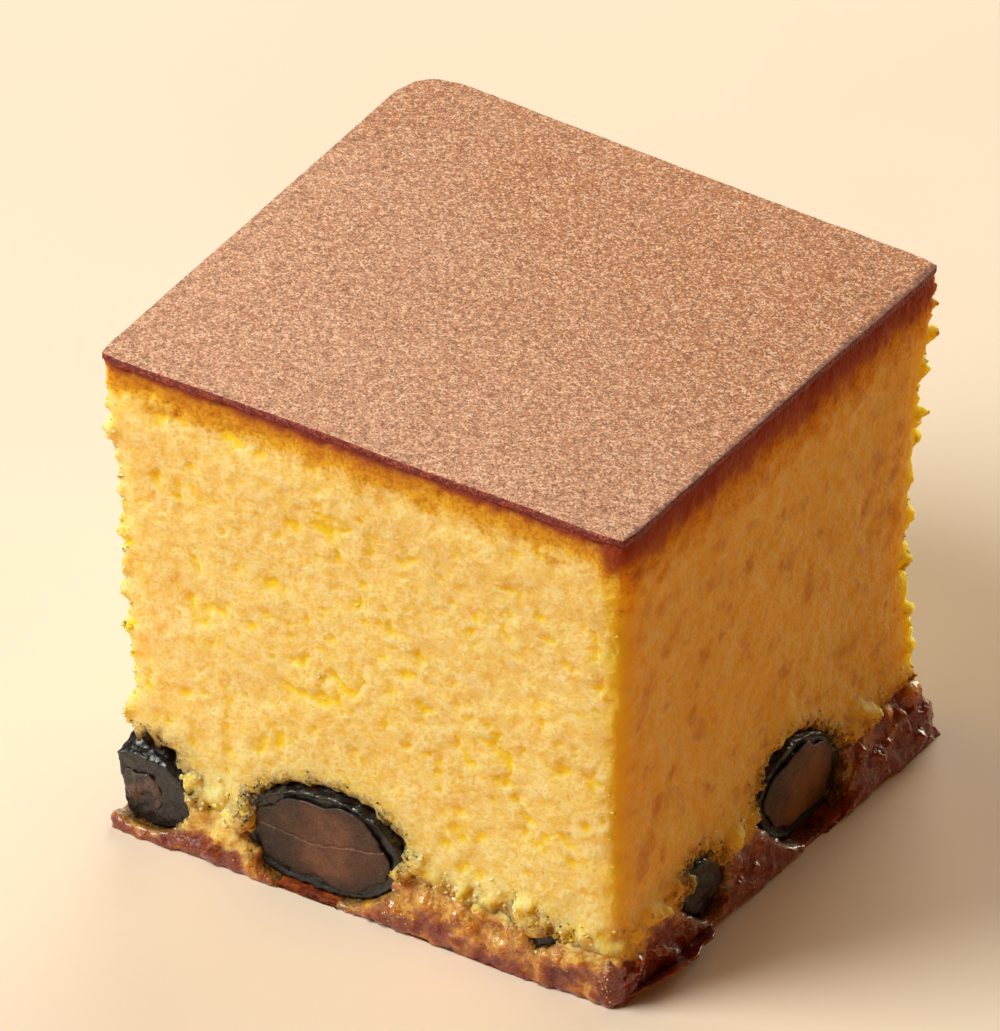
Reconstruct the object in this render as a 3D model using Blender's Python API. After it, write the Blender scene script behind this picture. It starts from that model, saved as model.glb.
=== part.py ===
"""A square-cut piece of castella sponge cake, with black soybeans sitting in its soaked base.

Blender 4.5, metres, +Z up. The origin is the middle of the bounding box, on the table.
The front is the -Y side and the right is the +X side. All four sides are knife cuts.
"""
import math

import bmesh
import bpy
from mathutils import Matrix, Vector, noise

MM = 0.001

# The block: the corners of its plan at the crust and at the foot, from front left, anticlockwise.
HEIGHT = 53.0 * MM
TOP_PLAN = [(-28.0, -27.0), (28.0, -27.0), (28.3, 27.0), (-30.3, 29.8)]
FOOT_PLAN = [(-28.2, -28.2), (27.7, -26.5), (30.4, 28.2), (-29.6, 29.2)]
CORNER_RADII = [0.8, 1.2, 1.0, 5.0]
HALF_WIDTH = 28.0 * MM
FLARE_HEIGHT = 7.0 * MM
WAIST_DEPTH = 1.1 * MM
WAIST_SKEW = 0.65
CRUST_BULGE = 0.45 * MM
CRUST_BULGE_AT = 0.89
CRUST_BULGE_SPREAD = 0.07
EDGE_DROOP = 0.3 * MM
SIDE_ROUGHNESS = 0.35 * MM
SIDE_ROUGHNESS_LENGTH = 6.0 * MM

# The wavy border between the soaked base and the dry sponge.
SEAM_HEIGHT = 6.2 * MM
SEAM_WAVE = 0.8 * MM
SEAM_WAVE_LENGTH = 8.0 * MM
GAP = 0.3 * MM

# The grid each block is cut into before it is shaped.
PLAN_CELLS = 16
SPONGE_LAYERS = 13
BASE_LAYERS = 3
CORNER_CROWDING = 0.06

# Beans: where the middle is, half the length, depth and height in mm, the tilt of the length in the
# side's own plane in degrees, and the sides that the knife took off. The cuts lean out below, with
# the flared foot, and all beans stop short of the table.
BEAN_FLOOR = 0.7 * MM
CUT_LEAN = 0.08
CUT_HEIGHT = 6.0
BEAN_SEGMENTS = 16
BEAN_RINGS = 10
BEAN_SQUARENESS = 0.94
CUT_FACES = {
    "front": (Vector((0, -26.6, CUT_HEIGHT)) * MM, Vector((0, -1, -CUT_LEAN))),
    "right": (Vector((27.5, 0, CUT_HEIGHT)) * MM, Vector((1, 0, -CUT_LEAN))),
    "back": (Vector((0, 28.0, CUT_HEIGHT)) * MM, Vector((-0.05, 1, -CUT_LEAN))),
    "left": (Vector((-28.4, 0, CUT_HEIGHT)) * MM, Vector((-1, -0.04, -CUT_LEAN))),
}
BEANS = {
    "bean_front": dict(at=(-4.7, -25.8, 6.3), half=(8.9, 5.6, 5.8), tilt=12, cuts=["front"]),
    "bean_corner": dict(at=(-24.6, -23.4, 5.6), half=(5.9, 6.2, 5.2), tilt=-4, cuts=["front", "left"]),
    "bean_peek": dict(at=(18.6, -21.5, 4.7), half=(5.6, 4.6, 3.8), tilt=10, cuts=["front"]),
    "bean_right_small": dict(at=(25.6, -11.3, 5.0), half=(4.4, 4.2, 3.0), tilt=-40, cuts=["right"]),
    "bean_right": dict(at=(26.6, 6.0, 6.1), half=(8.2, 5.5, 5.4), tilt=-32, cuts=["right"]),
    "bean_back_right": dict(at=(13.4, 26.4, 6.2), half=(8.0, 5.4, 5.3), tilt=16, cuts=["back"]),
    "bean_back_left": dict(at=(-11.8, 25.2, 5.6), half=(7.4, 5.3, 4.8), tilt=-8, cuts=["back"]),
    "bean_left": dict(at=(-27.0, 3.6, 6.0), half=(8.4, 5.5, 5.3), tilt=9, cuts=["left"]),
    "bean_left_small": dict(at=(-26.0, 19.4, 5.2), half=(4.9, 4.4, 3.8), tilt=-24, cuts=["left"]),
}


def clear_scene():
    for thing in list(bpy.data.objects):
        bpy.data.objects.remove(thing, do_unlink=True)


def srgb(red, green, blue):
    """Linear colour from the 0 to 255 values that a colour chart gives."""
    return tuple((value / 255) ** 2.2 for value in (red, green, blue)) + (1.0,)


def make_material(name, colour, roughness, subsurface=0.0):
    material = bpy.data.materials.new(name)
    material.use_nodes = True
    shader = material.node_tree.nodes["Principled BSDF"]
    shader.inputs["Base Color"].default_value = colour
    shader.inputs["Roughness"].default_value = roughness
    shader.inputs["Metallic"].default_value = 0.0
    shader.inputs["Subsurface Weight"].default_value = subsurface
    shader.inputs["Subsurface Scale"].default_value = 3 * MM
    material.diffuse_color = colour
    return material


def link_object(name, bm, material=None):
    mesh = bpy.data.meshes.new(name)
    bmesh.ops.recalc_face_normals(bm, faces=bm.faces)
    bm.to_mesh(mesh)
    bm.free()
    if material:
        mesh.materials.append(material)
    thing = bpy.data.objects.new(name, mesh)
    bpy.context.scene.collection.objects.link(thing)
    return thing


def smooth_step(value):
    value = min(max(value, 0.0), 1.0)
    return value * value * (3 - 2 * value)


def rounded_corner(u, v):
    """Round the plan's corners, in shares of its width and depth, by pulling in each corner square."""
    corners = [(0, 0), (1, 0), (1, 1), (0, 1)]
    for (corner_u, corner_v), radius in zip(corners, CORNER_RADII):
        share = radius * MM / (2 * HALF_WIDTH)
        side_u = 1 if corner_u else -1
        side_v = 1 if corner_v else -1
        centre_u = corner_u - side_u * share
        centre_v = corner_v - side_v * share
        out_u = (u - centre_u) * side_u
        out_v = (v - centre_v) * side_v
        if out_u > 0 and out_v > 0:
            pull = max(out_u, out_v) / math.hypot(out_u, out_v)
            u = centre_u + side_u * out_u * pull
            v = centre_v + side_v * out_v * pull
    return u, v


def waist(z):
    """How far the cut sides lean in at a height: a slack waist below, a slight bulge below the crust."""
    share = z / HEIGHT
    lean = WAIST_DEPTH * math.sin(math.pi * min(max(share, 0.0), 1.0) ** WAIST_SKEW)
    bulge = CRUST_BULGE * math.exp(-((share - CRUST_BULGE_AT) / CRUST_BULGE_SPREAD) ** 2)
    return lean - bulge


def plan_point(u, v, z):
    """The plan's point at shares u and v of its width and depth, at height z."""
    u, v = rounded_corner(u, v)
    flare = smooth_step(z / FLARE_HEIGHT)
    corners = [Vector(foot).lerp(Vector(top), flare) for foot, top in zip(FOOT_PLAN, TOP_PLAN)]
    front = corners[0].lerp(corners[1], u)
    back = corners[3].lerp(corners[2], u)
    point = front.lerp(back, v) * MM
    return point * (1 - waist(z) / HALF_WIDTH)


def seam(point):
    """Height of the border between base and sponge at a point of the plan."""
    place = Vector((point.x, point.y, 0)) / SEAM_WAVE_LENGTH
    return SEAM_HEIGHT + SEAM_WAVE * noise.noise(place)


def crust(u, v, point):
    """Height of the crust: flat, with a slight droop along its edges and a soft ripple."""
    edge = min(u, v, 1 - u, 1 - v)
    droop = EDGE_DROOP * (1 - smooth_step(edge * 8))
    ripple = 0.15 * MM * noise.noise(Vector((point.x, point.y, 0)) / (14 * MM))
    return HEIGHT - droop + ripple


def box_grid(columns, rows, layers):
    """A closed box from 0 to 1 each way, cut into a grid on every side."""
    bm = bmesh.new()
    bmesh.ops.create_cube(bm, size=1.0, matrix=Matrix.Translation((0.5, 0.5, 0.5)))
    for axis, count in enumerate((columns, rows, layers)):
        normal = Vector((0, 0, 0))
        normal[axis] = 1.0
        for step in range(1, count):
            everything = bm.verts[:] + bm.edges[:] + bm.faces[:]
            bmesh.ops.bisect_plane(bm, geom=everything, plane_co=normal * (step / count), plane_no=normal)
    return bm


def crowd_to_corners(share):
    return share - CORNER_CROWDING * math.sin(2 * math.pi * share)


def shape_block(bm, bottom, top):
    """Turn the unit grid into a slab of cake between two height functions of (u, v, plan point)."""
    for vert in bm.verts:
        share_u, share_v, share_w = vert.co
        u, v = crowd_to_corners(share_u), crowd_to_corners(share_v)
        flat = plan_point(u, v, HEIGHT / 2)
        low, high = bottom(u, v, flat), top(u, v, flat)
        z = low + (high - low) * share_w
        point = plan_point(u, v, z)
        out = Vector(((share_u > 0.999) - (share_u < 0.001), (share_v > 0.999) - (share_v < 0.001)))
        rough = noise.noise(Vector((point.x, point.y, z)) / SIDE_ROUGHNESS_LENGTH)
        point = point + out * SIDE_ROUGHNESS * rough * (0.0 if share_w in (0.0, 1.0) else 1.0)
        vert.co = (point.x, point.y, z)


def make_sponge(material):
    bm = box_grid(PLAN_CELLS, PLAN_CELLS, SPONGE_LAYERS)
    shape_block(bm, lambda u, v, point: seam(point) + GAP / 2, crust)
    return link_object("sponge", bm, material)


def make_base(material):
    bm = box_grid(PLAN_CELLS, PLAN_CELLS, BASE_LAYERS)
    shape_block(bm, lambda u, v, point: 0.0, lambda u, v, point: seam(point) - GAP / 2)
    return link_object("soaked_base", bm, material)


def squarer(value):
    """Push a unit sphere's coordinate out a little, for a plump bean."""
    return math.copysign(abs(value) ** BEAN_SQUARENESS, value)


def bean_mesh(spec, growth):
    """A plump ellipsoid lying in its side's plane, before any cut."""
    bm = bmesh.new()
    bmesh.ops.create_uvsphere(bm, u_segments=BEAN_SEGMENTS, v_segments=BEAN_RINGS, radius=1.0)
    across = "left" in spec["cuts"][:1] or "right" in spec["cuts"][:1]
    half = Vector(spec["half"]) * MM + Vector((growth, growth, growth))
    turn = Matrix.Rotation(math.radians(90), 3, "Z") if across else Matrix.Identity(3)
    tilt = Matrix.Rotation(math.radians(-spec["tilt"]), 3, "Y")
    for vert in bm.verts:
        round_point = Vector(squarer(value) for value in vert.co)
        scaled = Vector(size * value for size, value in zip(half, round_point))
        vert.co = turn @ tilt @ scaled + Vector(spec["at"]) * MM
    return bm


def slice_off(bm, point, normal):
    """Cut away what lies beyond a plane and close the cut with one flat face."""
    everything = bm.verts[:] + bm.edges[:] + bm.faces[:]
    bmesh.ops.bisect_plane(bm, geom=everything, plane_co=point, plane_no=normal, clear_outer=True)
    rim = [edge for edge in bm.edges if edge.is_boundary]
    bmesh.ops.holes_fill(bm, edges=rim)


def make_bean(name, spec, material):
    bm = bean_mesh(spec, 0.0)
    for side in spec["cuts"]:
        slice_off(bm, *CUT_FACES[side])
    slice_off(bm, Vector((0, 0, BEAN_FLOOR)), Vector((0, 0, -1)))
    bean = link_object(name, bm, material)
    bean.data.shade_smooth()
    bean.data.set_sharp_from_angle(angle=math.radians(40))
    return bean


def make_pocket_cutters():
    """One grown copy of each bean, all in a collection that the cake is cut with."""
    pockets = bpy.data.collections.new("bean_pockets")
    bpy.context.scene.collection.children.link(pockets)
    for name, spec in BEANS.items():
        bm = bean_mesh(spec, GAP)
        slice_off(bm, Vector((0, 0, BEAN_FLOOR - GAP)), Vector((0, 0, -1)))
        cutter = link_object(name + "_pocket", bm)
        bpy.context.scene.collection.objects.unlink(cutter)
        pockets.objects.link(cutter)
        cutter.hide_render = True
        cutter.display_type = "WIRE"
    return pockets


def cut_pockets(block, pockets):
    cut = block.modifiers.new("bean pockets", "BOOLEAN")
    cut.operation = "DIFFERENCE"
    cut.operand_type = "COLLECTION"
    cut.collection = pockets
    cut.solver = "EXACT"


def centre_on_origin():
    """Move every mesh so that the cake's bounding box is centred over the origin."""
    cake = [thing for thing in bpy.data.objects if not thing.hide_render]
    corners = [vert.co for thing in cake for vert in thing.data.vertices]
    low = Vector(min(co[axis] for co in corners) for axis in range(3))
    high = Vector(max(co[axis] for co in corners) for axis in range(3))
    shift = Vector(((low.x + high.x) / 2, (low.y + high.y) / 2, low.z))
    for thing in bpy.data.objects:
        thing.data.transform(Matrix.Translation(-shift))


def main():
    clear_scene()
    crumb = make_material("sponge crumb", srgb(242, 200, 100), 0.85, 0.4)
    soaked = make_material("soaked sponge", srgb(184, 118, 42), 0.35, 0.4)
    skin = make_material("black bean", srgb(26, 22, 18), 0.25)
    blocks = [make_sponge(crumb), make_base(soaked)]
    pockets = make_pocket_cutters()
    for block in blocks:
        cut_pockets(block, pockets)
    for name, spec in BEANS.items():
        make_bean(name, spec, skin)
    centre_on_origin()


main()
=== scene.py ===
import math

import bpy
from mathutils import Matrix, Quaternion, Vector, kdtree, noise


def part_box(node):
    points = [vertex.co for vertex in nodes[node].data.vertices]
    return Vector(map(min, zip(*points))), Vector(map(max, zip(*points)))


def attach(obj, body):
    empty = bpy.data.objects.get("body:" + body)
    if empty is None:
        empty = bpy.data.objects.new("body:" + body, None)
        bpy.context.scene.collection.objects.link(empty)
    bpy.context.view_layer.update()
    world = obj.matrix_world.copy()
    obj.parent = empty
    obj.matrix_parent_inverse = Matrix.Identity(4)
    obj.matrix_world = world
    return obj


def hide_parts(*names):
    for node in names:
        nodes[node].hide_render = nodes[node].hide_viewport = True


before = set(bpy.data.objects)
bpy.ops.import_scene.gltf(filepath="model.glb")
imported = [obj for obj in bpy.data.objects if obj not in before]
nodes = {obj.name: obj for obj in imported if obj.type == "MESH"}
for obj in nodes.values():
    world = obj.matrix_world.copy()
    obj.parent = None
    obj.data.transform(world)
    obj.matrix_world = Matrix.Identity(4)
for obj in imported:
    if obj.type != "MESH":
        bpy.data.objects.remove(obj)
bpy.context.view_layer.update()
mm = 0.001
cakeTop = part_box("sponge")[1].z
print("frame loaded:", len(nodes), "nodes")

beanSides = {  # the way each bean's cut faces look; two are whole
    "bean_front": [(0, -1, 0)],
    "bean_corner": [(0, -1, 0), (-1, 0, 0)],
    "bean_peek": [],
    "bean_right": [(1, 0, 0)],
    "bean_right_small": [],
    "bean_back_right": [(0, 1, 0)],
    "bean_back_left": [(0, 1, 0)],
    "bean_left": [(-1, 0, 0)],
    "bean_left_small": [(-1, 0, 0)],
}


# small helpers

def tone(red, green, blue):  # a screen colour, 0 to 255, as the linear colour that nodes take
    def linear(value):
        return value / 12.92 if value < 0.04045 else ((value + 0.055) / 1.055) ** 2.4
    return (linear(red / 255), linear(green / 255), linear(blue / 255), 1.0)


def pickOnly(piece):
    bpy.ops.object.select_all(action="DESELECT")
    piece.select_set(True)
    bpy.context.view_layer.objects.active = piece


def applyModifier(piece, kind, **settings):
    pickOnly(piece)
    modifier = piece.modifiers.new(kind.lower(), kind)
    for name, value in settings.items():
        setattr(modifier, name, value)
    bpy.ops.object.modifier_apply(modifier=modifier.name)


def shadeSmooth(piece):
    pickOnly(piece)
    bpy.ops.object.shade_smooth()


def selectAll():
    bpy.ops.mesh.select_all(action="SELECT")


def editAll(piece):  # go into edit mode with everything selected
    pickOnly(piece)
    bpy.ops.object.mode_set(mode="EDIT")
    selectAll()


def editFaces(piece, wanted):  # go into edit mode with only the wanted faces selected
    pickOnly(piece)
    bpy.ops.object.mode_set(mode="EDIT")
    bpy.ops.mesh.select_mode(type="FACE")
    bpy.ops.mesh.select_all(action="DESELECT")
    leaveEdit()
    for face in piece.data.polygons:
        face.select = wanted(face)
    bpy.ops.object.mode_set(mode="EDIT")


def leaveEdit():
    bpy.ops.object.mode_set(mode="OBJECT")


def cutLevel(piece, height, away):  # drop what lies above (1) or below (-1) a height, and close the cut
    editAll(piece)
    bpy.ops.mesh.bisect(plane_co=(0, 0, height), plane_no=(0, 0, away), use_fill=True, clear_outer=True)
    leaveEdit()


def copyOfNode(node, name):  # a new piece with the frame's own shape, its loose triangles joined up
    piece = bpy.data.objects.new(name, nodes[node].data.copy())
    piece.data.name = name
    piece.data.materials.clear()
    bpy.context.scene.collection.objects.link(piece)
    editAll(piece)
    bpy.ops.mesh.remove_doubles(threshold=0.002 * mm)
    leaveEdit()
    return piece


def pointsAndNormals(piece):  # the normals are read first, because they go stale as the points move
    normals = [vert.normal.copy() for vert in piece.data.vertices]
    return zip(piece.data.vertices, normals)


def markPoints(piece, name, kind, field, values):
    piece.data.attributes.new(name, kind, "POINT").data.foreach_set(field, values)


def triangles(piece):
    return sum(len(face.vertices) - 2 for face in piece.data.polygons)


def finishPiece(piece, material, slot, *replaced):
    piece.data.materials.clear()
    piece.data.materials.append(material)
    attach(piece, "root")
    if replaced:
        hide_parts(*replaced)


# node helpers, for shaders and for geometry nodes alike

def addNode(tree, kind, inputs=None, **settings):
    node = tree.nodes.new(kind)
    for name, value in settings.items():
        setattr(node, name, value)
    for name, value in (inputs or {}).items():
        if isinstance(value, bpy.types.NodeSocket):
            tree.links.new(value, node.inputs[name])
        else:
            node.inputs[name].default_value = value
    return node


def calc(tree, operation, *values, clamp=False):
    node = addNode(tree, "ShaderNodeMath", dict(enumerate(values)), operation=operation, use_clamp=clamp)
    return node.outputs[0]


def plus(tree, *values):
    total = values[0]
    for value in values[1:]:
        total = calc(tree, "ADD", total, value)
    return total


def minus(tree, first, second):
    return calc(tree, "SUBTRACT", first, second)


def times(tree, *values):
    total = values[0]
    for value in values[1:]:
        total = calc(tree, "MULTIPLY", total, value)
    return total


def splitAxes(tree, vector):
    parts = addNode(tree, "ShaderNodeSeparateXYZ", {0: vector}).outputs
    return parts["X"], parts["Y"], parts["Z"]


def smoothRange(tree, value, low, high, outLow=0.0, outHigh=1.0):
    inputs = {"Value": value, "From Min": low, "From Max": high, "To Min": outLow, "To Max": outHigh}
    return addNode(tree, "ShaderNodeMapRange", inputs, interpolation_type="SMOOTHSTEP").outputs["Result"]


def noiseField(tree, place, size, detail=2.0, roughness=0.5, distortion=0.0):  # 0 to 1, around 0.5
    inputs = {"Vector": place, "Scale": 1 / size, "Detail": detail, "Roughness": roughness,
              "Distortion": distortion}
    return addNode(tree, "ShaderNodeTexNoise", inputs).outputs[0]


def swayField(tree, place, size, amount, detail=2.0, roughness=0.5):  # noise that swings about zero
    return times(tree, minus(tree, noiseField(tree, place, size, detail, roughness), 0.5), amount)


def distanceTo(tree, place, spot):
    return addNode(tree, "ShaderNodeVectorMath", {0: place, 1: spot}, operation="DISTANCE").outputs["Value"]


def mixTone(tree, factor, first, second):
    return addNode(tree, "ShaderNodeMix", {0: factor, 6: first, 7: second}, data_type="RGBA").outputs[2]


def tint(tree, color, other, field, low, high, outLow, outHigh):  # mix in another tone along a field
    return mixTone(tree, smoothRange(tree, field, low, high, outLow, outHigh), color, other)


def toneRamp(tree, factor, stops):
    node = addNode(tree, "ShaderNodeValToRGB", {"Fac": factor})
    elements = node.color_ramp.elements
    while len(elements) < len(stops):
        elements.new(0.5)
    for element, (position, color) in zip(elements, stops):
        element.position = position
        element.color = color
    return node.outputs["Color"]


def newGroup(name, kind, inputs, outputs):  # inputs and outputs: the sockets' names and kinds
    tree = bpy.data.node_groups.new(name, kind)
    for direction, sockets in (("INPUT", inputs), ("OUTPUT", outputs)):
        for label, socketKind in sockets.items():
            tree.interface.new_socket(name=label, in_out=direction, socket_type="NodeSocket" + socketKind)
    return tree, addNode(tree, "NodeGroupInput"), addNode(tree, "NodeGroupOutput")


# effects that several finishes share

def grainGroup():  # Soft is a smooth mottle, Speck gives every small grain a value of its own
    tree, start, end = newGroup("grain", "ShaderNodeTree", {"Place": "Vector", "Size": "Float"},
                                {"Soft": "Float", "Speck": "Float"})
    inputs = {"Vector": start.outputs["Place"], "Scale": calc(tree, "DIVIDE", 1.0, start.outputs["Size"])}
    soft = addNode(tree, "ShaderNodeTexNoise", dict(inputs, Detail=1.5)).outputs[0]
    tree.links.new(smoothRange(tree, soft, 0.28, 0.72), end.inputs["Soft"])
    cells = addNode(tree, "ShaderNodeTexVoronoi", inputs)
    tree.links.new(splitAxes(tree, cells.outputs["Color"])[0], end.inputs["Speck"])
    return tree


# on the right side, which stands in shade, the baked edge reaches deeper: painted shade
bakedEdge = {"ragged": 1.5, "raggedSize": 2.4 * mm, "shadedRight": 0.58}  # it reaches deeper on the right


def bakedGroup(shape):  # 0 right under the crust, 1 where the crumb has its own colour
    tree, start, end = newGroup("baked edge", "ShaderNodeTree",
                                {"Place": "Vector", "Top": "Float", "Depth": "Float"}, {"Below": "Float"})
    place = start.outputs["Place"]
    x, y, z = splitAxes(tree, place)
    below = calc(tree, "DIVIDE", minus(tree, start.outputs["Top"], z), start.outputs["Depth"])
    # stretched on the shaded right: painted shade
    below = times(tree, below, smoothRange(tree, x, 24.5 * mm, 27 * mm, 1.0, shape["shadedRight"]))
    ragged = plus(tree, 1.0, swayField(tree, place, shape["raggedSize"], shape["ragged"], 3.0, 0.65))
    tree.links.new(calc(tree, "MULTIPLY", below, ragged, clamp=True), end.inputs["Below"])
    return tree


soakedEdge = {  # it falls to the right, rises to the back, and dips between the front and the corner bean
    "fallRight": -0.08, "riseBack": 0.038, "ragged": 4.5 * mm, "raggedSize": 2.2 * mm,
    "dip": (-16.5 * mm, -28 * mm, 4 * mm), "dipReach": (4 * mm, 9 * mm), "dipDepth": 4.8 * mm,
    "blur": 0.3 * mm, "dampReach": 3.0 * mm,
}


def soakedGroup(shape):  # Soaked is 1 in the soaked layer, 0 in the dry crumb; Damp fades out above it
    tree, start, end = newGroup("soaked edge", "ShaderNodeTree",
                                {"Place": "Vector", "Border": "Float", "Cap": "Float"},
                                {"Soaked": "Float", "Damp": "Float"})
    place = start.outputs["Place"]
    x, y, z = splitAxes(tree, place)
    slope = plus(tree, times(tree, x, shape["fallRight"]), times(tree, y, shape["riseBack"]))
    border = calc(tree, "MINIMUM", plus(tree, start.outputs["Border"], slope), start.outputs["Cap"])
    near, far = shape["dipReach"]
    dip = smoothRange(tree, distanceTo(tree, place, shape["dip"]), near, far, shape["dipDepth"], 0.0)
    ragged = swayField(tree, place, shape["raggedSize"], shape["ragged"], 3.0, 0.6)
    above = plus(tree, minus(tree, z, minus(tree, border, dip)), ragged)
    tree.links.new(smoothRange(tree, above, -shape["blur"], shape["blur"], 1.0, 0.0), end.inputs["Soaked"])
    tree.links.new(smoothRange(tree, above, 0.0, shape["dampReach"], 1.0, 0.0), end.inputs["Damp"])
    return tree


shared = {"grain": grainGroup(), "baked": bakedGroup(bakedEdge), "soaked": soakedGroup(soakedEdge)}


def useGroup(tree, name, inputs):
    return addNode(tree, "ShaderNodeGroup", inputs, node_tree=shared[name]).outputs


def startMaterial(name, **values):  # the material's tree, its shader and the place on the piece
    material = bpy.data.materials.new(name)
    material.use_nodes = True
    tree = material.node_tree
    shader = tree.nodes["Principled BSDF"]
    for label, value in values.items():
        shader.inputs[label.replace("_", " ")].default_value = value
    place = addNode(tree, "ShaderNodeTexCoord").outputs["Object"]
    return material, tree, shader, place


def mottle(tree, place, size):
    return useGroup(tree, "grain", {"Place": place, "Size": size})["Soft"]


def feed(tree, shader, **values):
    for label, value in values.items():
        tree.links.new(value, shader.inputs[label.replace("_", " ")])


def addBump(tree, shader, height, strength, depth):
    bump = addNode(tree, "ShaderNodeBump", {"Height": height, "Strength": strength, "Distance": depth})
    feed(tree, shader, Normal=bump.outputs["Normal"])


crumbLook = {
    # some tones here are painted light: those for the pores and the smallest pits are painted shade and
    # bounce light, the brown for the right face is painted shade, and the glow is a painted glow
    "cream": tone(250, 237, 168), "yellow": tone(239, 207, 94), "poreBounceTone": tone(252, 220, 40),
    "pinholeShadeTone": tone(238, 198, 84), "poreShade": tone(188, 112, 56), "glow": tone(255, 222, 36),
    "crustLine": tone(112, 30, 18), "redBrown": tone(146, 58, 20), "orange": tone(206, 138, 14),
    "gold": tone(230, 178, 34),
    "jam": tone(124, 42, 20), "amber": tone(162, 88, 26), "honey": tone(208, 148, 40),
    "paleHoney": tone(232, 190, 100),
    "damp": tone(206, 164, 78), "stainSoft": tone(158, 126, 66), "stain": tone(86, 68, 40),
    "bakedDepth": 5.4 * mm, "border": 7.9 * mm, "cap": 7.4 * mm, "honeyDepth": 8 * mm, "honeySwirl": 16 * mm,
    "fine": 0.36 * mm, "medium": 1.3 * mm, "wide": 2.6 * mm,
}
# paler tones for the loose grains: painted light, so that they look lit through
paleLitLook = dict(crumbLook, cream=tone(255, 246, 208), yellow=tone(250, 228, 146),
                 pinholeShadeTone=tone(250, 220, 120))
dryBody = {"wet": 0.35, "bump": 0.22 * mm, "scatter": 0.85, "reach": 4.8 * mm, "tint": (1.0, 0.72, 0.14)}
looseBody = dict(dryBody, wet=0.2, bump=0.05 * mm, scatter=0.6, reach=0.3 * mm)
soakedBody = {"wet": 0.8, "bump": 0.45 * mm, "scatter": 0.8, "reach": 1.4 * mm, "tint": (1.0, 0.5, 0.1)}


def dryCrumb(tree, place, look, fine, medium, wide, shadedRight):
    # cream on the raised grains and yellow in the hollows: partly the crumb's own mottle, partly painted
    # highlight and shade
    color = mixTone(tree, plus(tree, times(tree, fine, 0.45), times(tree, medium, 0.55)), look["yellow"],
                    look["cream"])
    # darker specks in the smallest hollows: painted shade
    pinholeShade = times(tree, smoothRange(tree, fine, 0.0, 0.2, 0.6, 0.0),
                     minus(tree, 1.0, times(tree, shadedRight, 0.6)))
    color = mixTone(tree, pinholeShade, color, look["pinholeShadeTone"])
    # a richer yellow in the pores: painted shade and bounce light inside them
    pores = addNode(tree, "ShaderNodeAttribute", attribute_name="pore").outputs["Fac"]
    poreBounce = calc(tree, "MULTIPLY", pores, minus(tree, 1.0, shadedRight), clamp=True)
    color = mixTone(tree, poreBounce, color, look["poreBounceTone"])
    # on the shaded right the pores show as soft brown patches of painted shade, and a painted glow runs
    # beside both upright edges where light would come through
    poreShade = smoothRange(tree, plus(tree, wide, times(tree, pores, 0.08)), 0.50, 0.78, 0.0, 0.6)
    color = mixTone(tree, times(tree, poreShade, shadedRight), color, look["poreShade"])
    x, y, z = splitAxes(tree, place)
    # painted glow beside the right face's upright edges, fading lower down
    paintedGlow = plus(tree, smoothRange(tree, y, -26.8 * mm, -23.2 * mm, 0.85, 0.0),
                 smoothRange(tree, y, 20 * mm, 26 * mm, 0.0, 0.8))
    paintedGlow = times(tree, paintedGlow, smoothRange(tree, z, 7 * mm, 16 * mm, 0.3, 1.0), shadedRight)
    return mixTone(tree, paintedGlow, color, look["glow"])


def bakedCrumb(tree, place, look, color, fine, shadedRight):  # from dark under the crust down to gold
    inputs = {"Place": place, "Top": cakeTop - 0.6 * mm, "Depth": look["bakedDepth"]}
    below = useGroup(tree, "baked", inputs)["Below"]
    baked = toneRamp(tree, below, [
        (0.05, look["crustLine"]), (0.14, look["redBrown"]), (0.26, look["orange"]), (0.55, look["gold"])])
    baked = tint(tree, baked, look["redBrown"], fine, 0.1, 0.7, 0.35, 0.0)
    # a wide red-brown band on the shaded right: painted shade
    shadeBand = times(tree, shadedRight, smoothRange(tree, below, 0.18, 0.52, 0.85, 0.0))
    baked = mixTone(tree, shadeBand, baked, look["redBrown"])
    return tint(tree, color, baked, below, 0.5, 0.9, 1.0, 0.0)


def syrupyCrumb(tree, place, look, fine, wide, shadedRight):  # honey lumps, darker jam between and at the foot
    depthTone = plus(tree, splitAxes(tree, place)[2], times(tree, minus(tree, wide, 0.5), look["honeySwirl"]))
    # the dark jam reaches higher on the shaded right: painted shade
    depthTone = minus(tree, depthTone, times(tree, shadedRight, 4.0 * mm))
    syrupy = toneRamp(tree, calc(tree, "DIVIDE", depthTone, look["honeyDepth"]), [
        (0.04, look["jam"]), (0.26, look["amber"]), (0.44, look["honey"]), (0.85, look["paleHoney"])])
    return tint(tree, syrupy, look["amber"], fine, 0.0, 0.5, 0.55, 0.0)


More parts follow.
